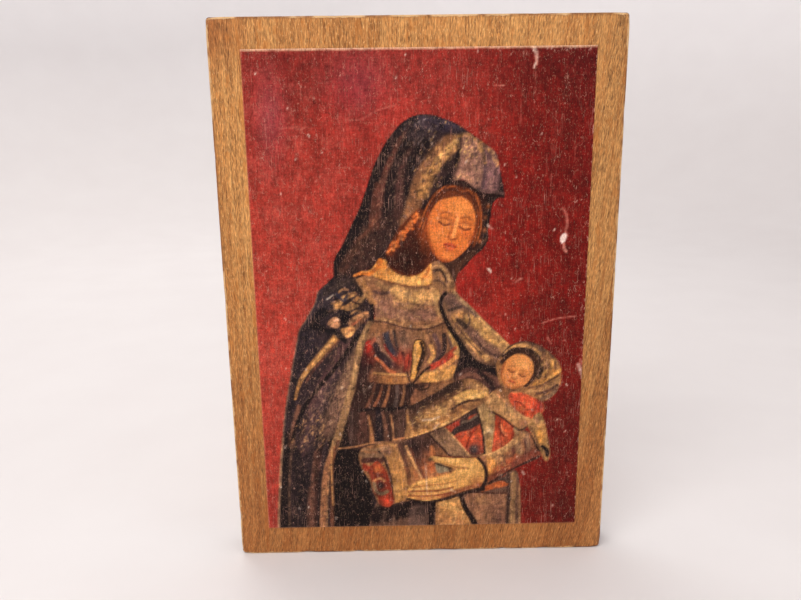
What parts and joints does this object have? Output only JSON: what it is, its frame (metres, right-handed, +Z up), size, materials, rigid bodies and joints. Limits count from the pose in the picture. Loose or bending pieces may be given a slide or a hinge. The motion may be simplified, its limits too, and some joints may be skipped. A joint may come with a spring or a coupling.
{
  "type": "wall plaque",
  "caption": "Small wooden wall plaque with a worn paper print of a mother and child glued to its front and a hinged brass hanging ring on its back.",
  "frame": {"origin": "centre of the bottom of the bounding box, where the plaque's bottom edge stands", "axes": "+Z up along the plaque's height, +X along its width, and the print faces -Y, so the hanging ring is on the +Y side"},
  "size_m": [0.12, 0.0158, 0.17],
  "materials": {
    "oak_front": "warm brown oak veneer, satin varnish, worn along the arrises",
    "oak_back": "plain oak backing veneer, thin varnish",
    "lipping": "dark brown stained solid wood, worn to bare wood at the corners",
    "core": "pressed wood particles, unfinished",
    "print": "colour print under satin varnish, scratched and rubbed",
    "strap_brass": "stamped strip, dulled",
    "ring_brass": "drawn wire, dulled, brighter where it rubs",
    "nail_brass": "round-headed pins, dulled"
  },
  "bodies": {
    "plaque": {"front_veneer": "oak_front", "back_veneer": "oak_back", "core_panel": "core", "lipping_left": "lipping", "lipping_right": "lipping", "lipping_top": "lipping", "lipping_bottom": "lipping", "print_sheet": "print", "hanger_strap": "strap_brass", "hanger_nail_left": "nail_brass", "hanger_nail_right": "nail_brass"},
    "ring": {"hanger_ring": "ring_brass"}
  },
  "joints": [
    {"name": "ring_swing", "type": "hinge", "parent": "plaque", "child": "ring", "pos_m": [0, 0.00622, 0.15], "axis": [1, 0, 0], "range_deg": [0, 180]}
  ]
}
